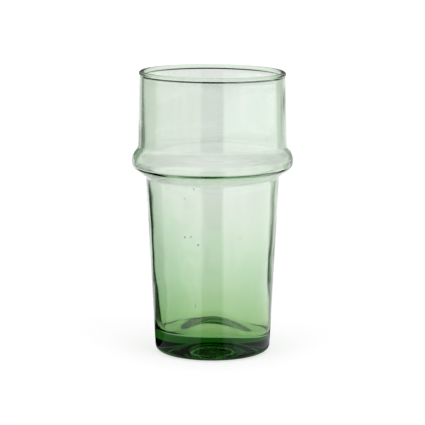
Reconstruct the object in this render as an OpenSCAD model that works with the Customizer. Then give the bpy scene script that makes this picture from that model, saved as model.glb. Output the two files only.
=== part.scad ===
// Mouth-blown water glass: a tapered body, a hollow ring round its shoulder and a
// nearly straight cup above, all one unbroken wall of glass on a heavy pushed-up base.
// The half section is a chain of corners, each with its own rounding, turned about Z.
// The origin is the centre of the foot on the table, and +Z points out of the mouth.

/* [Overall] */
// Height from the table to the top of the rim
height = 130.7; // [108:0.1:160]
// Outside diameter of the cup, just above the ring
cup_d = 68.4; // [57:0.1:83]
// Outside diameter of the foot
foot_d = 53.1; // [44:0.1:64]

/* [Lip] */
// Thickness of the fire-polished bead round the rim
bead_wall = 2.2; // [1.8:0.1:3]
// Height of the bead, from the crease below it to the top of the rim
bead_h = 2.8; // [2.2:0.1:4.5]
// How far the bead stands out from the top of the cup
bead_out = 0.5; // [0:0.1:0.8]
// Height over which the wall swells from the crease to the full bead
swell_h = 0.6; // [0.4:0.1:1.2]

/* [Cup] */
// Height of the cup, from the top of the ring to the rim
cup_h = 34.9; // [26:0.1:42]
// How far the cup draws in between the ring and the lip
cup_draw = 0.9; // [0:0.1:4]
// Wall of the cup
cup_wall = 1.4; // [1:0.1:2]

/* [Ring] */
// How far the ring stands out from the foot of the cup
ring_out = 2.9; // [2:0.1:4]
// Height of the sloping top of the ring
ring_top_h = 4.3; // [3:0.1:6]
// Height of the ring's upright band
ring_band_h = 4.8; // [3.5:0.1:7]
// Height of the ring's hollowed underside
ring_under_h = 4.6; // [3:0.1:6]
// Wall of the ring, which is as hollow as the cup
ring_wall = 1.8; // [1:0.1:2.4]

/* [Body] */
// How far the body steps in below the ring, from the foot of the cup
neck_step = 3.6; // [2:0.1:6]
// Wall at the neck, where the ring folds into the body
neck_wall = 2.2; // [1.2:0.1:2.8]
// Height over which that wall thins out below the neck
collar_h = 6; // [4:0.5:10]
// Wall of the upper part of the body
body_wall = 1.5; // [1:0.1:2.2]
// Height of that part, below which the wall thickens down to the base
thin_h = 16; // [6:1:34]
// Wall of the body at the corner of the floor, before that is rounded
heel_wall = 4.6; // [2.4:0.1:6]

/* [Base] */
// Height of the floor's corner above the table, before that is rounded
floor_h = 6.8; // [5.5:0.1:10]
// Rounding between the wall and the floor inside
floor_round = 6.5; // [4:0.5:8]
// How far the middle of the floor is pushed up
kick_h = 6.3; // [2:0.1:8]
// Diameter of the floor's pushed-up crown
crown_d = 15; // [10:0.5:20]
// How far the middle of the underside is pushed up
hollow_h = 7.8; // [2:0.1:9]
// Diameter of the hollow in the underside, before its edge is rounded
hollow_d = 28; // [22:0.5:36]
// Diameter of the hollow's crown
hollow_crown_d = 11; // [8:0.5:14]
// Rounding of the foot's outer edge
foot_round = 2.7; // [1:0.1:3.5]

/* [Hidden] */

// Roundings of the outside, from the rim down to the neck
crease_round = 0.8;
swell_round = 0.8;
ring_top_round = 5;
ring_nose_round = 9;
ring_chin_round = 6;
neck_round = 1.3;
// Roundings of the inside where the wall thins and thickens, and of the two crowns and the hollow's edge
collar_round = 20;
taper_round = 300;
crown_round = 40;
hollow_crown_round = 12;
hollow_edge_round = 6;
// The inner rounding of a bend never gets sharper than this
least_round = 0.6;
// Largest step along an arc of the section, in degrees, and the steps of a full turn
arc_step = 5;
turn_steps = 128;
// A corner that bends less than this, as the sine of its angle, needs no arc
least_bend = 0.001;

// Heights and radii that follow from the sizes above
crease_z = height - bead_h;
swell_z = crease_z + swell_h;
ring_top_z = height - cup_h;
ring_high_z = ring_top_z - ring_top_h;
ring_low_z = ring_high_z - ring_band_h;
neck_z = ring_low_z - ring_under_h;
collar_z = neck_z - collar_h;
taper_z = collar_z - thin_h;
cup_r = cup_d / 2;
crease_r = cup_r - cup_draw;
rim_r = crease_r + bead_out;
mouth_r = rim_r - bead_wall;
ring_r = cup_r + ring_out;
neck_r = cup_r - neck_step;
foot_r = foot_d / 2;

// A corner is [radius from the axis, height, rounding], and a rounding of 0 keeps it sharp.
// From the middle of the underside out to the standing ring
under_corners = [
    [0, hollow_h, 0],
    [hollow_crown_d / 2, hollow_h, hollow_crown_round],
    [hollow_d / 2, 0, hollow_edge_round],
];
// From the foot up the outside to the rim
outer_corners = [
    [foot_r, 0, foot_round],
    [neck_r, neck_z, neck_round],
    [ring_r, ring_low_z, ring_chin_round],
    [ring_r, ring_high_z, ring_nose_round],
    [cup_r, ring_top_z, ring_top_round],
    [crease_r, crease_z, crease_round],
    [rim_r, swell_z, swell_round],
    [rim_r, height, bead_wall / 2],
];
// The glass behind the neck, the two bends of the ring and the foot of the cup
bend_walls = [neck_wall, ring_wall, ring_wall, cup_wall];
// From the inner edge of the rim, down the inside and over the floor to the axis
inner_corners = concat(
    [
        [mouth_r, height, bead_wall / 2],
        [mouth_r, swell_z, swell_round],
        [crease_r - cup_wall, crease_z, crease_round],
    ],
    [for (i = [len(bend_walls):-1:1]) inset_corner(outer_corners, i, bend_walls[i - 1])],
    [
        [body_r(collar_z) - body_wall, collar_z, collar_round],
        [body_r(taper_z) - body_wall, taper_z, taper_round],
        [body_r(floor_h) - heel_wall, floor_h, floor_round],
        [crown_d / 2, floor_h + kick_h, crown_round],
        [0, floor_h + kick_h, 0],
    ]
);

// Outside radius of the tapered body at a height
function body_r(z) = foot_r + (neck_r - foot_r) * z / neck_z;

function unit(v) = v / norm(v);
function turned(v, angle) = [
    v.x * cos(angle) - v.y * sin(angle),
    v.x * sin(angle) + v.y * cos(angle)
];
function point(corner) = [corner.x, corner.y];

// The share of a leg that the rounding at one end may use: half, or all of it if the other end is sharp
function leg_share(corner) = corner.z == 0 ? 1 : 0.5;

// Points of the arc that rounds a corner, tangent to both legs and no larger than they allow
function arc_points(before, corner, after) =
    let (
        tip = point(corner),
        leg_in = point(before) - tip,
        leg_out = point(after) - tip,
        half = acos(unit(leg_in) * unit(leg_out)) / 2,
        room = min(norm(leg_in) * leg_share(before), norm(leg_out) * leg_share(after)),
        radius = min(corner.z, room * tan(half)),
        centre = tip + unit(unit(leg_in) + unit(leg_out)) * radius / sin(half),
        start = tip + unit(leg_in) * radius / tan(half) - centre,
        end = tip + unit(leg_out) * radius / tan(half) - centre,
        sweep = (180 - 2 * half) * sign(cross(start, end)),
        steps = ceil(abs(sweep) / arc_step)
    )
    [for (i = [0:steps]) centre + turned(start, sweep * i / steps)];

function is_straight(before, corner, after) =
    abs(cross(unit(point(corner) - point(before)), unit(point(after) - point(corner)))) < least_bend;

// The chain of corners with each one rounded
function rounded_chain(corners) = [
    for (i = [0:len(corners) - 1])
        each corners[i].z == 0 || is_straight(corners[i - 1], corners[i], corners[i + 1])
            ? [point(corners[i])]
            : arc_points(corners[i - 1], corners[i], corners[i + 1])
];

// Corner i of a chain moved in by a wall, square to both of its legs, with its rounding to match
function inset_corner(corners, i, wall) =
    let (
        tip = point(corners[i]),
        way_in = unit(tip - point(corners[i - 1])),
        way_out = unit(point(corners[i + 1]) - tip),
        inward = unit(turned(way_in, 90) + turned(way_out, 90)),
        moved = tip + inward * wall / (inward * turned(way_in, 90)),
        bend = sign(cross(way_in, way_out))
    )
    [moved.x, moved.y, max(corners[i].z - bend * wall, least_round)];

module tumbler() {
    color([0.55, 0.75, 0.5, 0.5])
        rotate_extrude($fn = turn_steps)
            polygon(rounded_chain(concat(under_corners, outer_corners, inner_corners)));
}

tumbler();
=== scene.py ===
import math

import bmesh
import bpy
from mathutils import Matrix, Vector


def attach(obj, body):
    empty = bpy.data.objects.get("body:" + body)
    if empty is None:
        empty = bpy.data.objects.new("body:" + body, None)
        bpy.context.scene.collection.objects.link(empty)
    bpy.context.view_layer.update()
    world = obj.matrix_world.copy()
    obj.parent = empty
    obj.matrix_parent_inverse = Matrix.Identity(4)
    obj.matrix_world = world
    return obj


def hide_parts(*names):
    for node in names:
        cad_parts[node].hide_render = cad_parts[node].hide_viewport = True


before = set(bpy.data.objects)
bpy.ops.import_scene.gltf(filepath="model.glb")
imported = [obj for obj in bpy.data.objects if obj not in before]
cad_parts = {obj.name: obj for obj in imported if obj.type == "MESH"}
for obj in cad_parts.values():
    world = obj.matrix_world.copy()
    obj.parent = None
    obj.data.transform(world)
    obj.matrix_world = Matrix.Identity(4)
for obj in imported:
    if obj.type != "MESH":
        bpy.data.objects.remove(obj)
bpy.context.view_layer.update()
print("frame loaded")

mm = 0.001
scene = bpy.context.scene

# The tumbler, in millimetres and in degrees from the right by way of the back
tumblerShape = {
    # outside, from the crease below the rim down to the hollow under the foot
    "creaseZ": 127.55,
    "cupTopR": 33.35,
    "cupZ": 95.25,
    "cupR": 34.2,
    "cupRound": 6.2,
    "ringHighZ": 91.35,
    "ringLowZ": 86.8,
    "ringR": 37.1,
    "noseRound": 6.35,
    "chinRound": 3.2,
    "neckZ": 81.85,
    "neckR": 30.75,
    "neckRound": 2.55,
    "footR": 26.55,
    "footRound": 2.65,
    "hollowR": 19.0,
    "hollowH": 5.6,
    "hollowPower": 1.23,
    "hollowX": 0.3,
    "hollowY": -0.5,
    # the fire-polished bead on the rim
    "rimTop": 130.05,
    "beadR": 33.75,
    "beadWall": 2.6,
    "beadRise": 1.38,
    # the cup leans, so that its rim is higher on the left, and the ring hangs lower in front
    "tilt": 0.32,
    "tiltFrom": 96.0,
    "droop": 0.5,
    "droopR": 37.0,
    "droopFrom": 76.0,
    "droopFull": 83.0,
    "droopFade": 96.0,
    "droopEnd": 106.0,
    # inside of the base: where its corner starts, how full that is, the trough and the pushed-up dome
    "cornerZ": 23.55,
    "fullRight": 7.45,
    "fullLeft": 5.0,
    "fullFront": 1.65,
    "fullBack": 1.65,
    "troughR": 19.3,
    "troughRight": 7.25,
    "troughLeft": 9.45,
    "troughFront": 10.4,
    "troughBack": 7.1,
    "domeX": 2.58,
    "domeY": 1.64,
    "domeZ": 11.65,
    "domePower": 0.88,
    "shiftEase": 1.4,  # how soon the dome and the hollow are fully off centre
    # wall at a few heights: (height, right, left, front, back)
    "wall": [
        (10, 2.8, 6.0, 4.8, 5.4),
        (18, 2.8, 4.2, 4.1, 4.1),
        (26, 2.7, 3.4, 3.8, 3.8),
        (34, 2.6, 2.8, 3.3, 3.3),
        (42, 2.3, 2.5, 2.75, 2.75),
        (52, 1.85, 2.2, 2.15, 2.15),
        (62, 1.5, 1.85, 1.75, 1.75),
        (76, 1.65, 1.5, 1.35, 1.3),
        (82.2, 1.7, 1.45, 1.75, 1.3),
        (87, 1.65, 1.3, 1.6, 1.45),
        (92, 1.45, 1.75, 1.25, 1.35),
        (98, 1.5, 1.65, 1.3, 1.3),
        (128, 1.45, 1.5, 1.5, 1.35),
    ],
    # where the gather was thicker or thinner, and how far that spreads
    "thick": [
        {"turn": 214, "height": 38, "wide": 22, "tall": 24, "extra": 0.8},
        {"turn": 146, "height": 32, "wide": 22, "tall": 24, "extra": 0.8},
        {"turn": 220, "height": 10, "wide": 26, "tall": 14, "extra": 1.2},
        {"turn": 140, "height": 10, "wide": 26, "tall": 14, "extra": 2.2},
        {"turn": 314, "height": 14, "wide": 28, "tall": 24, "extra": 1.2},
        {"turn": 46, "height": 14, "wide": 28, "tall": 24, "extra": 1.2},
        {"turn": 303, "height": 45, "wide": 26, "tall": 18, "extra": -0.25},
        {"turn": 57, "height": 40, "wide": 26, "tall": 18, "extra": -0.25},
    ],
    # slow ripples left by the turning of the gather: waves in a turn, height of a wave and start in radians
    "ripple": [
        {"depth": 0.045, "waves": 3, "rise": 55.0, "start": 0.4},
        {"depth": 0.03, "waves": 7, "rise": -38.0, "start": 2.1},
        {"depth": 0.03, "waves": 0, "rise": 14.0, "start": 1.0},
        {"depth": 0.012, "waves": 16, "rise": 120.0, "start": 4.0},
    ],
    # seeds, small bubbles in the wall: depth as a share of it, and half their width and height
    "seeds": [
        {"turn": 244.5, "height": 57.6, "depth": 0.4, "wide": 0.36, "tall": 0.42},
        {"turn": 250.5, "height": 58.0, "depth": 0.4, "wide": 0.32, "tall": 0.36},
        {"turn": 257.0, "height": 54.4, "depth": 0.4, "wide": 0.42, "tall": 0.42},
        {"turn": 254.0, "height": 80.0, "depth": 0.4, "wide": 0.28, "tall": 0.45},
        {"turn": 338.0, "height": 40.0, "depth": 0.4, "wide": 0.4, "tall": 0.9},
        {"turn": 253.5, "height": 26.0, "depth": 0.3, "wide": 0.2, "tall": 0.9},
        {"turn": 118.0, "height": 66.0, "depth": 0.5, "wide": 0.3, "tall": 0.4},
        {"turn": 62.0, "height": 47.0, "depth": 0.5, "wide": 0.28, "tall": 0.36},
        {"turn": 27.0, "height": 108.0, "depth": 0.5, "wide": 0.22, "tall": 0.3},
        {"turn": 152.0, "height": 115.0, "depth": 0.5, "wide": 0.22, "tall": 0.28},
    ],
    # painted shade on the inner face where it is seen edge on, how dark it goes: (height, right, left, front,
    # back)
    "edge": [
        (20, 0.9, 1.0, 0.95, 0.95),
        (46, 0.75, 1.0, 0.9, 0.9),
        (60, 0.4, 1.0, 0.75, 0.75),
        (76, 0.2, 0.9, 0.6, 0.6),
        (86, 0.2, 0.4, 0.3, 0.3),
        (128, 0.2, 0.4, 0.3, 0.3),
    ],
    # steps of the mesh, where a pair is those of a corner's arc and of the leg above it
    "turnSteps": 192,
    "hollowSteps": 20,
    "standSteps": (1, 4),
    "footSteps": (12, 50),
    "neckSteps": (10, 3),
    "chinSteps": (16, 1),
    "noseSteps": (16, 2),
    "cupSteps": (12, 20),
    "lipSteps": (1, 1),
    "creaseSteps": 14,
    "beadSteps": 20,
    "cornerSteps": 28,
    "domeSteps": 20,
    "seedSplits": 3,
}


# A value in one direction, from those to the right, left, front and back
def around(right, left, front, back, turn):
    side, depth = math.cos(turn), math.sin(turn)
    return (right if side > 0 else left) * side * side + (back if depth > 0 else front) * depth * depth


def smoothStep(x):
    x = min(max(x, 0.0), 1.0)
    return x * x * (3 - 2 * x)


# Smooth values between levels, with no overshoot: slopes are the harmonic mean of their neighbours
def smoothAt(levels, z):
    last = len(levels) - 2
    k = next((i for i in range(last) if z < levels[i + 1][0]), last)
    span = levels[k + 1][0] - levels[k][0]
    t = (z - levels[k][0]) / span
    values = []
    for i in range(1, len(levels[0])):
        steep = [(b[i] - a[i]) / (b[0] - a[0]) for a, b in zip(levels, levels[1:])]
        ends = []
        for before, after in ((k - 1, k), (k, k + 1)):
            a, b = steep[max(before, 0)], steep[min(after, last)]
            ends.append(0.0 if a * b <= 0 else 2 * a * b / (a + b) * span)
        low, rise = levels[k][i], levels[k + 1][i] - levels[k][i]
        bend = 3 * rise - 2 * ends[0] - ends[1]
        values.append(low + t * (ends[0] + t * (bend + t * (ends[0] + ends[1] - 2 * rise))))
    return values


def wallAt(level, z, turn):
    wall = around(*level, turn)
    for patch in tumblerShape["thick"]:
        across = (math.degrees(turn) - patch["turn"] + 180) % 360 - 180
        spread = (across / patch["wide"]) ** 2 + ((z - patch["height"]) / patch["tall"]) ** 2
        wall += patch["extra"] * math.exp(-spread)
    for wave in tumblerShape["ripple"]:
        phase = wave["waves"] * turn + 2 * math.pi * z / wave["rise"] + wave["start"]
        wall += wave["depth"] * math.sin(phase)
    return wall


# The painted edge shade at a height and in a direction
def paintedEdgeShadeAt(z, turn):
    rows = tumblerShape["edge"]
    return around(*smoothAt(rows, min(max(z, rows[0][0]), rows[-1][0])), turn)


# Points with headings along a chain of rounded corners, each one (radius, height, rounding, steps of its arc,
# steps of the leg after it)
def roundedChain(corners):
    path = []
    legBefore = 1
    for i, (r, z, rounding, arcSteps, legSteps) in enumerate(corners):
        tip = Vector((r, z))
        if i in (0, len(corners) - 1):
            way = (Vector(corners[i + 1][:2]) - tip) if i == 0 else (tip - Vector(corners[i - 1][:2]))
            arc = [(tip, way.normalized())]
        else:
            wayIn = (tip - Vector(corners[i - 1][:2])).normalized()
            wayOut = (Vector(corners[i + 1][:2]) - tip).normalized()
            turnBy = math.atan2(wayIn.cross(wayOut), wayIn.dot(wayOut))
            reach = rounding * math.tan(abs(turnBy) / 2)
            side = math.copysign(rounding, turnBy)
            start = tip - wayIn * reach
            middle = start + Vector((-wayIn.y, wayIn.x)) * side
            arc = []
            for k in range(arcSteps + 1):
                spin = Matrix.Rotation(turnBy * k / arcSteps, 2)
                arc.append((middle + spin @ (start - middle), spin @ wayIn))
        if path:
            last = path[-1][0]
            for k in range(1, legBefore):
                path.append((last.lerp(arc[0][0], k / legBefore), arc[0][1]))
        path += arc
        legBefore = legSteps
    return path


# A hill of height 1 and radius 1, level at its top and at its foot
def hill(share, power):
    return (1 + math.cos(math.pi * share ** power)) / 2


def outsidePath():
    g = tumblerShape
    hollow = []
    for k in range(g["hollowSteps"]):
        share = k / g["hollowSteps"]
        z = g["hollowH"] * hill(share, g["hollowPower"])
        hollow.append((Vector((g["hollowR"] * share, z)), Vector((1, 0))))
    return hollow + roundedChain([
        (g["hollowR"], 0, 0, *g["standSteps"]),
        (g["footR"], 0, g["footRound"], *g["footSteps"]),
        (g["neckR"], g["neckZ"], g["neckRound"], *g["neckSteps"]),
        (g["ringR"], g["ringLowZ"], g["chinRound"], *g["chinSteps"]),
        (g["ringR"], g["ringHighZ"], g["noseRound"], *g["noseSteps"]),
        (g["cupR"], g["cupZ"], g["cupRound"], *g["cupSteps"]),
        (g["cupTopR"], g["creaseZ"], 0, *g["lipSteps"]),
    ])


def section(path, levels, turn):
    g = tumblerShape
    points = [p for p, way in path]
    # up to the bead, over it and down to the crease inside
    edge = path[-1][0]
    innerR = edge.x - wallAt(levels[-1], edge.y, turn)
    half = g["beadWall"] / 2
    beadZ = g["rimTop"] - half
    inside = []
    for k in range(1, g["creaseSteps"] + 1):
        z = edge.y + (beadZ - edge.y) * k / g["creaseSteps"]
        swell = smoothStep((z - edge.y) / g["beadRise"])
        points.append(Vector((edge.x + (g["beadR"] - edge.x) * swell, z)))
        inside.append(Vector((innerR + (g["beadR"] - g["beadWall"] - innerR) * swell, z)))
    for k in range(1, g["beadSteps"]):
        angle = math.pi * k / g["beadSteps"]
        points.append(Vector((g["beadR"] - half + half * math.cos(angle), beadZ + half * math.sin(angle))))
    points += reversed(inside)
    # down the inside
    for (p, way), level in zip(reversed(path), reversed(levels)):
        if p.y < g["cornerZ"]:
            break
        points.append(p + Vector((-way.y, way.x)) * wallAt(level, p.y, turn))
    # round the corner of the floor, keeping the lean of the wall's last few points, then over the dome
    top, above = points[-1], points[-4]
    lean = (top.x - above.x) / (top.y - above.y)
    full = around(g["fullRight"], g["fullLeft"], g["fullFront"], g["fullBack"], turn)
    low = around(g["troughRight"], g["troughLeft"], g["troughFront"], g["troughBack"], turn)
    for k in range(1, g["cornerSteps"] + 1):
        angle = math.pi / 2 * k / g["cornerSteps"]
        across = max(math.cos(angle), 0) ** (2 / full)
        z = top.y + (low - top.y) * math.sin(angle) ** (2 / full)
        wallR = top.x + lean * (z - top.y)
        points.append(Vector((g["troughR"] + (wallR - g["troughR"]) * across, z)))
    for k in range(1, g["domeSteps"] + 1):
        share = 1 - k / g["domeSteps"]
        rise = hill(share, g["domePower"])
        points.append(Vector((g["troughR"] * share, low + (g["domeZ"] - low) * rise)))
    return points


# A blown glass is never quite true: the cup leans, the ring droops, and the dome and hollow are off centre
def placed(p, turn, onFloor, inHollow):
    g = tumblerShape
    x, y = p.x * math.cos(turn), p.x * math.sin(turn)
    lean = smoothStep((p.y - g["tiltFrom"]) / (g["rimTop"] - g["tiltFrom"]))
    droop = smoothStep((p.y - g["droopFrom"]) / (g["droopFull"] - g["droopFrom"]))
    droop *= smoothStep((g["droopEnd"] - p.y) / (g["droopEnd"] - g["droopFade"]))
    z = p.y - g["tilt"] * lean * x / g["beadR"] + g["droop"] * droop * y / g["droopR"]
    if onFloor:
        share = smoothStep(g["shiftEase"] * (1 - p.x / g["troughR"]))
        x, y = x + g["domeX"] * share, y + g["domeY"] * share
    if inHollow:
        share = smoothStep(g["shiftEase"] * (1 - p.x / g["hollowR"]))
        x, y = x + g["hollowX"] * share, y + g["hollowY"] * share
    return Vector((x, y, z)) * mm


# A seed is a closed surface inside the wall that faces its own middle
def addSeeds(mesh, path, levels):
    for seed in tumblerShape["seeds"]:
        turn = math.radians(seed["turn"])
        near = min(range(len(path)), key=lambda i: abs(path[i][0].y - seed["height"]))
        p, way = path[near]
        deep = wallAt(levels[near], p.y, turn) * seed["depth"]
        middle = p + Vector((-way.y, way.x)) * deep
        spot = Vector((middle.x * math.cos(turn), middle.x * math.sin(turn), seed["height"])) * mm
        size = Matrix.Diagonal((seed["wide"] * mm, seed["wide"] * mm, seed["tall"] * mm, 1.0))
        place = Matrix.Translation(spot) @ size
        splits = tumblerShape["seedSplits"]
        made = bmesh.ops.create_icosphere(mesh, subdivisions=splits, radius=1.0, matrix=place)
        faces = {face for vert in made["verts"] for face in vert.link_faces}
        bmesh.ops.reverse_faces(mesh, faces=list(faces))


def makeTumbler():
    g = tumblerShape
    mesh = bmesh.new()
    # each point keeps its share of painted edge shade, which the glass's material reads
    paintedEdgeShadeLayer = mesh.verts.layers.float.new("edge")
    turns = g["turnSteps"]
    path = outsidePath()
    levels = [smoothAt(g["wall"], p.y) for p, way in path]
    inside = len(path) + 2 * g["creaseSteps"] + g["beadSteps"] - 1  # the first point below the lip inside
    rings, paintedEdgeShades = [], []
    for k in range(turns):
        turn = 2 * math.pi * k / turns
        points = section(path, levels, turn)
        floorFrom = len(points) - g["domeSteps"]
        paintedEdgeShades.append([paintedEdgeShadeAt(p.y, turn) if i >= inside else 0.0 for i, p in enumerate(points)])
        rings.append([placed(p, turn, i >= floorFrom, i < g["hollowSteps"]) for i, p in enumerate(points)])
    bottom = mesh.verts.new(rings[0][0])
    top = mesh.verts.new(rings[0][-1])
    loops = [[mesh.verts.new(p) for p in ring[1:-1]] for ring in rings]
    for loop, values in zip(loops, paintedEdgeShades):
        for vert, value in zip(loop, values[1:-1]):
            vert[paintedEdgeShadeLayer] = value
    for k in range(turns):
        a, b = loops[k], loops[(k + 1) % turns]
        mesh.faces.new((bottom, b[0], a[0]))
        for i in range(len(a) - 1):
            mesh.faces.new((a[i], b[i], b[i + 1], a[i + 1]))
        mesh.faces.new((a[-1], b[-1], top))
    bmesh.ops.recalc_face_normals(mesh, faces=mesh.faces)
    addSeeds(mesh, path, levels)
    for face in mesh.faces:
        face.smooth = True
    data = bpy.data.meshes.new("tumblerGlass")
    mesh.to_mesh(data)
    mesh.free()
    piece = bpy.data.objects.new("tumblerGlass", data)
    scene.collection.objects.link(piece)
    print("tumbler:", len(data.vertices), "points")
    return piece


def ramp(nodes, links, source, fromMin, fromMax, toMin, toMax):
    node = nodes.new("ShaderNodeMapRange")
    node.interpolation_type = "SMOOTHSTEP"
    for name, value in (("From Min", fromMin), ("From Max", fromMax), ("To Min", toMin), ("To Max", toMax)):
        node.inputs[name].default_value = value
    links.new(source, node.inputs["Value"])
    return node.outputs["Result"]


def maths(nodes, links, operation, a, b):
    node = nodes.new("ShaderNodeMath")
    node.operation = operation
    links.new(a, node.inputs[0])
    links.new(b, node.inputs[1])
    return node.outputs[0]


def pickValue(nodes, links, choice, off, on):
    node = nodes.new("ShaderNodeMix")
    links.new(choice, node.inputs["Factor"])
    for name, value in (("A", off), ("B", on)):
        if isinstance(value, float):
            node.inputs[name].default_value = value
        else:
            links.new(value, node.inputs[name])
    return node.outputs["Result"]


def pickShader(nodes, links, choice, off, on):
    node = nodes.new("ShaderNodeMixShader")
    links.new(choice, node.inputs[0])
    links.new(off.outputs[0], node.inputs[1])
    links.new(on.outputs[0], node.inputs[2])
    return node


# Green bottle glass, with heights in millimetres
greenGlass = {
    "ior": 1.52,
    "roughness": 0.0,
    "absorb": (100.0, 51.0, 104.0),  # what a metre takes from red, green and blue
    "shadowTint": (0.95, 0.97, 0.95),
    # the colour deepens toward the base: (height, what the surface lets through)
    "tint": [
        (0, (1.0, 1.0, 0.8)),
        (18, (1.0, 1.0, 0.88)),
        (26, (1.0, 1.0, 0.955)),
        (34, (1.0, 1.0, 0.985)),
        (50, (1.0, 0.99, 0.99)),
        (75, (1.0, 0.977, 1.0)),
        (130, (1.0, 0.977, 1.0)),
    ],
    # faint upright streaks in the melt
    "streakScale": (170.0, 170.0, 14.0),
    "streakDetail": 2.0,
    "streakFrom": 0.4,
    "streakFull": 0.7,
    "streakColour": (0.965, 0.985, 0.96),
    # the painted dark edge shade, by 1 minus the cosine of the angle, seen from the air and then from inside
    # the wall
    "paintedEdgeShadeColour": (0.02, 0.08, 0.02),
    "airFrom": 0.68,
    "airFull": 0.95,
    "wallFrom": 0.23,
    "wallFull": 0.243,
    "wallFade": 0.253,
    "wallEnd": 0.263,
    # heights over which the painted shade begins in the wall, and below which it stays on the heavy wall past
    # its end
    "lowFrom": 10.0,
    "lowFull": 17.0,
    "heavyFull": 28.0,
    "heavyEnd": 50.0,
    "heavyShade": 0.9,
}


def glassColour(nodes, links, place, height):
    g = greenGlass
    tints = g["tint"]
    share = nodes.new("ShaderNodeMapRange")
    share.inputs["From Max"].default_value = tints[-1][0] * mm
    links.new(height, share.inputs["Value"])
    tint = nodes.new("ShaderNodeValToRGB")
    stops = tint.color_ramp.elements
    for number, (level, colour) in enumerate(tints):
        spot = level / tints[-1][0]
        stop = stops[number] if number < 2 else stops.new(spot)  # a new ramp has two stops
        stop.position = spot
        stop.color = colour + (1.0,)
    links.new(share.outputs["Result"], tint.inputs["Fac"])
    stretch = nodes.new("ShaderNodeVectorMath")
    stretch.operation = "MULTIPLY"
    stretch.inputs[1].default_value = g["streakScale"]
    links.new(place, stretch.inputs[0])
    noise = nodes.new("ShaderNodeTexNoise")
    noise.inputs["Scale"].default_value = 1.0
    noise.inputs["Detail"].default_value = g["streakDetail"]
    links.new(stretch.outputs["Vector"], noise.inputs["Vector"])
    streak = nodes.new("ShaderNodeMix")
    streak.data_type = "RGBA"
    streak.blend_type = "MULTIPLY"
    streak.inputs["B"].default_value = g["streakColour"] + (1.0,)
    where = ramp(nodes, links, noise.outputs["Fac"], g["streakFrom"], g["streakFull"], 0.0, 1.0)
    links.new(where, streak.inputs["Factor"])
    links.new(tint.outputs["Color"], streak.inputs["A"])
    return streak.outputs["Result"]


# How far painted shade darkens the inner face where it is seen edge on; clear glass doesn't go dark there by
# itself
def paintedEdgeShadeShare(nodes, links, height):
    g = greenGlass
    weight = nodes.new("ShaderNodeLayerWeight")
    seen = weight.outputs["Facing"]
    fromAir = ramp(nodes, links, seen, g["airFrom"], g["airFull"], 0.0, 1.0)
    grazing = ramp(nodes, links, seen, g["wallFrom"], g["wallFull"], 0.0, 1.0)
    outer = ramp(nodes, links, seen, g["wallFade"], g["wallEnd"], 1.0, 0.0)
    heavyWallPaintedShade = ramp(nodes, links, height, g["heavyFull"] * mm, g["heavyEnd"] * mm, g["heavyShade"], 0.0)
    above = ramp(nodes, links, height, g["lowFrom"] * mm, g["lowFull"] * mm, 0.0, 1.0)
    outer = maths(nodes, links, "MAXIMUM", outer, heavyWallPaintedShade)
    fromWall = maths(nodes, links, "MULTIPLY", maths(nodes, links, "MULTIPLY", grazing, outer), above)
    side = nodes.new("ShaderNodeNewGeometry")
    steep = pickValue(nodes, links, side.outputs["Backfacing"], fromAir, fromWall)
    # the share of painted edge shade stored on the mesh's points
    edge = nodes.new("ShaderNodeAttribute")
    edge.attribute_name = "edge"
    return maths(nodes, links, "MULTIPLY", steep, edge.outputs["Fac"])


def makeGlassMaterial():
    material = bpy.data.materials.new("greenGlass")
    material.use_nodes = True
    nodes, links = material.node_tree.nodes, material.node_tree.links
    out = nodes["Material Output"]
    place = nodes.new("ShaderNodeTexCoord").outputs["Object"]
    split = nodes.new("ShaderNodeSeparateXYZ")
    links.new(place, split.inputs[0])
    height = split.outputs["Z"]
    shader = nodes["Principled BSDF"]
    links.new(glassColour(nodes, links, place, height), shader.inputs["Base Color"])
    shader.inputs["Roughness"].default_value = greenGlass["roughness"]
    shader.inputs["IOR"].default_value = greenGlass["ior"]
    shader.inputs["Transmission Weight"].default_value = 1.0
    # painted shade: a dark diffuse mixed into the glass where it is seen edge on
    paintedEdgeShadeBsdf = nodes.new("ShaderNodeBsdfDiffuse")
    paintedEdgeShadeBsdf.inputs["Color"].default_value = greenGlass["paintedEdgeShadeColour"] + (1.0,)
    glassWithPaintedEdgeShade = pickShader(nodes, links, paintedEdgeShadeShare(nodes, links, height), shader, paintedEdgeShadeBsdf)
    clear = nodes.new("ShaderNodeBsdfTransparent")  # lamps shine through and leave a pale green shadow
    clear.inputs["Color"].default_value = greenGlass["shadowTint"] + (1.0,)
    path = nodes.new("ShaderNodeLightPath")
    shown = pickShader(nodes, links, path.outputs["Is Shadow Ray"], glassWithPaintedEdgeShade, clear)
    links.new(shown.outputs[0], out.inputs["Surface"])
    volume = nodes.new("ShaderNodeVolumeAbsorption")
    density = max(greenGlass["absorb"])
    volume.inputs["Density"].default_value = density
    volume.inputs["Color"].default_value = tuple(1 - a / density for a in greenGlass["absorb"]) + (1.0,)
    links.new(volume.outputs["Volume"], out.inputs["Volume"])
    print("green glass ready")
    return material


# The floor, in metres, with its levels near the glass and far from it
floorLook = {
    "size": 12.0,
    "drop": 0.0003,
    "colour": 0.4,
    # what the camera sees added to it
    "glowNear": 0.67,
    "glowFar": 1.0,
    "glowFrom": 0.3,
    "glowTo": 2.0,
    # what shows through the glass
    "behindNear": 0.94,
    "behindFar": 0.87,
    "behindFrom": 1.1,
    "behindTo": 1.25,
    # the shade by the foot, which the glass mirrors
    "footShade": 0.2,
    "shadeFrom": 0.05,
    "shadeTo": 0.085,
}


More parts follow.
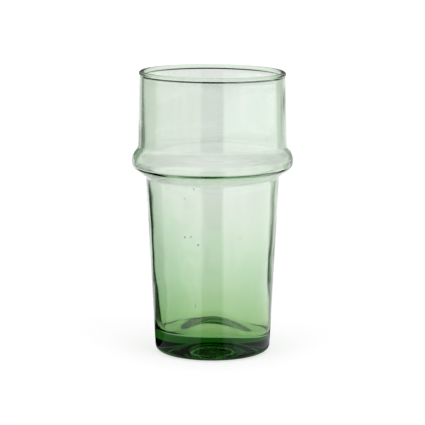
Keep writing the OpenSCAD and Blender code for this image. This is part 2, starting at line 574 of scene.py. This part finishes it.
def makeFloorMaterial():
    f = floorLook
    material = bpy.data.materials.new("paleFloor")
    material.use_nodes = True
    nodes, links = material.node_tree.nodes, material.node_tree.links
    nodes.clear()
    out = nodes.new("ShaderNodeOutputMaterial")
    path = nodes.new("ShaderNodeLightPath")
    place = nodes.new("ShaderNodeNewGeometry")
    away = nodes.new("ShaderNodeVectorMath")
    away.operation = "LENGTH"
    links.new(place.outputs["Position"], away.inputs[0])
    distance = away.outputs["Value"]
    matte = nodes.new("ShaderNodeBsdfDiffuse")
    matte.inputs["Color"].default_value = (f["colour"],) * 3 + (1,)
    glow = nodes.new("ShaderNodeEmission")
    far = ramp(nodes, links, distance, f["glowFrom"], f["glowTo"], f["glowNear"], f["glowFar"])
    links.new(maths(nodes, links, "MULTIPLY", far, path.outputs["Is Camera Ray"]), glow.inputs["Strength"])
    both = nodes.new("ShaderNodeAddShader")
    links.new(matte.outputs[0], both.inputs[0])
    links.new(glow.outputs[0], both.inputs[1])
    white = nodes.new("ShaderNodeEmission")  # what the glass sees of it
    shade = ramp(nodes, links, distance, f["shadeFrom"], f["shadeTo"], f["footShade"], 1.0)
    behind = ramp(nodes, links, distance, f["behindFrom"], f["behindTo"], f["behindNear"], f["behindFar"])
    refracted = path.outputs["Is Transmission Ray"]
    links.new(pickValue(nodes, links, refracted, shade, behind), white.inputs["Strength"])
    glass = maths(nodes, links, "MAXIMUM", path.outputs["Is Glossy Ray"], refracted)
    shown = pickShader(nodes, links, glass, both, white)
    links.new(shown.outputs[0], out.inputs["Surface"])
    return material


def makeFloor():
    size, low = floorLook["size"] / 2, -floorLook["drop"]
    data = bpy.data.meshes.new("floor")
    corners = [(-size, -size, low), (size, -size, low), (size, size, low), (-size, size, low)]
    data.from_pydata(corners, [], [(0, 1, 2, 3)])
    data.materials.append(makeFloorMaterial())
    floor = bpy.data.objects.new("floor", data)
    scene.collection.objects.link(floor)


# The sky's levels: as light, through the glass from low to high, and mirrored from front to back
skyLook = {
    "light": 0.25,
    "low": 1.0,
    "high": 0.03,
    "lowTo": 0.2,
    "highFrom": 0.32,
    "front": 1.6,
    "back": 0.15,
    "frontTo": 0.1,
    "backFrom": 0.95,
}


def makeWorld():
    s = skyLook
    world = bpy.data.worlds.new("studio")
    scene.world = world
    world.use_nodes = True
    nodes, links = world.node_tree.nodes, world.node_tree.links
    back = nodes["Background"]
    back.inputs["Color"].default_value = (1, 1, 1, 1)
    path = nodes.new("ShaderNodeLightPath")
    coords = nodes.new("ShaderNodeTexCoord")
    split = nodes.new("ShaderNodeSeparateXYZ")
    links.new(coords.outputs["Generated"], split.inputs[0])
    sky = ramp(nodes, links, split.outputs["Z"], s["lowTo"], s["highFrom"], s["low"], s["high"])
    gloss = ramp(nodes, links, split.outputs["Y"], s["frontTo"], s["backFrom"], s["front"], s["back"])
    # a refracted ray counts as glossy too, so what it sees is chosen last
    mirrored = pickValue(nodes, links, path.outputs["Is Glossy Ray"], s["light"], gloss)
    shown = pickValue(nodes, links, path.outputs["Is Camera Ray"], mirrored, 1.0)
    level = pickValue(nodes, links, path.outputs["Is Transmission Ray"], shown, sky)
    links.new(level, back.inputs["Strength"])


def grey(level):
    return (level, level, level)


paleBlue = (0.55, 0.56, 0.6)
coolWhite = (1.0, 1.0, 1.03)
# Cards that only the glass sees, as sectors on the floor: degrees from straight behind, positive to the
# right, then metres from the glass, and the softness of the near and far edge as a share of that
cards = [
    {"turn": (163.5, 196.5), "reach": (0.03, 0.75), "shade": grey(0.0), "seen": "mirror"},
    {"turn": (163.5, 196.5), "reach": (0.75, 4.0), "shade": grey(0.0), "seen": "both"},
    {"turn": (-95, -48), "reach": (0.03, 0.145), "shade": grey(0.0), "seen": "mirror"},
    {"turn": (-85, -37), "reach": (0.145, 4.0), "shade": grey(0.0), "seen": "mirror"},
    {"turn": (43, 60), "reach": (0.145, 4.0), "shade": grey(0.15), "seen": "mirror"},
    {"turn": (-161, -92), "reach": (0.09, 0.75), "soft": (0.45, 0.04), "shade": grey(1.4), "seen": "mirror"},
    {"turn": (-161, -92), "reach": (0.75, 4.0), "shade": grey(1.2), "seen": "both"},
    {"turn": (62, 161), "reach": (0.09, 0.75), "soft": (0.45, 0.04), "shade": grey(2.2), "seen": "mirror"},
    {"turn": (62, 161), "reach": (0.75, 4.0), "shade": grey(1.8), "seen": "both"},
    {"turn": (62, 150), "reach": (0.03, 0.062), "soft": (0.04, 0.2), "shade": paleBlue, "seen": "mirror"},
    {"turn": (1.5, 9), "reach": (0.72, 1.5), "soft": (0.1, 0.1), "shade": coolWhite, "seen": "through"},
]
cardShape = {
    "softTurn": 1.5,
    "soft": (0.04, 0.04),
    "turnSteps": 12,
    "lift": 0.0003,
    "liftStep": 0.000025,
}


def makeCardMaterial():
    material = bpy.data.materials.new("studioCard")
    material.use_nodes = True
    nodes, links = material.node_tree.nodes, material.node_tree.links
    nodes.clear()
    out = nodes.new("ShaderNodeOutputMaterial")
    clear = nodes.new("ShaderNodeBsdfTransparent")
    card = nodes.new("ShaderNodeEmission")
    shade = nodes.new("ShaderNodeAttribute")
    shade.attribute_name = "shade"
    links.new(shade.outputs["Color"], card.inputs["Color"])
    shown = pickShader(nodes, links, shade.outputs["Alpha"], clear, card)
    links.new(shown.outputs[0], out.inputs["Surface"])
    return material


def makeCards():
    material = makeCardMaterial()
    soft, steps = cardShape["softTurn"], cardShape["turnSteps"]
    for number, card in enumerate(cards):
        low, high = card["turn"]
        even = [low + soft + (high - low - 2 * soft) * k / steps for k in range(steps + 1)]
        turns = [low - soft] + even + [high + soft]
        near, far = card["reach"]
        nearSoft, farSoft = card.get("soft", cardShape["soft"])
        reaches = [near * (1 - nearSoft), near * (1 + nearSoft), far * (1 - farSoft), far * (1 + farSoft)]
        z = cardShape["lift"] + cardShape["liftStep"] * number
        points, faces, shades = [], [], []
        for i, turn in enumerate(turns):
            a = math.radians(turn)
            for j, r in enumerate(reaches):
                points.append((math.sin(a) * r, math.cos(a) * r, z))
                border = i in (0, len(turns) - 1) or j in (0, len(reaches) - 1)
                shades += [*card["shade"], 0.0 if border else 1.0]
                if i and j:
                    k = len(reaches) * i + j
                    faces.append((k - len(reaches) - 1, k - len(reaches), k, k - 1))
        data = bpy.data.meshes.new("studioCard")
        data.from_pydata(points, [], faces)
        data.attributes.new("shade", "FLOAT_COLOR", "POINT").data.foreach_set("color", shades)
        data.materials.append(material)
        obj = bpy.data.objects.new("studioCard", data)
        scene.collection.objects.link(obj)
        obj.visible_camera = False
        obj.visible_diffuse = False
        obj.visible_shadow = False
        obj.visible_glossy = card["seen"] in ("mirror", "both")
        obj.visible_transmission = card["seen"] in ("through", "both")


lamps = {
    "keyRight": {"place": (0.9, -0.9, 1.3), "size": 0.9, "power": 6.0},
    "fillLeft": {"place": (-0.9, -0.9, 1.3), "size": 0.9, "power": 4.0},
    "overhead": {"place": (0.0, 0.0, 1.8), "size": 1.6, "power": 20.0},
}


def makeLamps():
    for name, lamp in lamps.items():
        light = bpy.data.lights.new(name, "AREA")
        light.shape = "SQUARE"
        light.size = lamp["size"]
        light.energy = lamp["power"]
        obj = bpy.data.objects.new(name, light)
        obj.location = lamp["place"]
        obj.rotation_euler = (-Vector(lamp["place"])).to_track_quat("-Z", "Y").to_euler()
        obj.visible_glossy = False
        obj.visible_transmission = False
        scene.collection.objects.link(obj)


# The photograph's view, in millimetres and degrees
photoView = {
    "away": 902.47,
    "height": 221.52,
    "pitch": 9.878,
    "lens": 167.67,
    "sensor": 36.0,
}


def makeCamera():
    data = bpy.data.cameras.new("photoCamera")
    data.lens = photoView["lens"]
    data.sensor_width = photoView["sensor"]
    camera = bpy.data.objects.new("photoCamera", data)
    camera.location = (0, -photoView["away"] * mm, photoView["height"] * mm)
    camera.rotation_euler = (math.radians(90 - photoView["pitch"]), 0, 0)
    scene.collection.objects.link(camera)
    scene.camera = camera


# Enough bounces for both walls of the glass and its heavy base
bounces = {
    "all": 32,
    "through": 32,
    "mirrored": 16,
}

scene.view_settings.view_transform = "Standard"
scene.cycles.max_bounces = bounces["all"]
scene.cycles.transmission_bounces = bounces["through"]
scene.cycles.glossy_bounces = bounces["mirrored"]

makeCamera()
makeLamps()
makeWorld()
makeFloor()
makeCards()
print("studio ready")

tumbler = makeTumbler()
tumbler.data.materials.append(makeGlassMaterial())
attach(tumbler, "root")
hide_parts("tumbler")
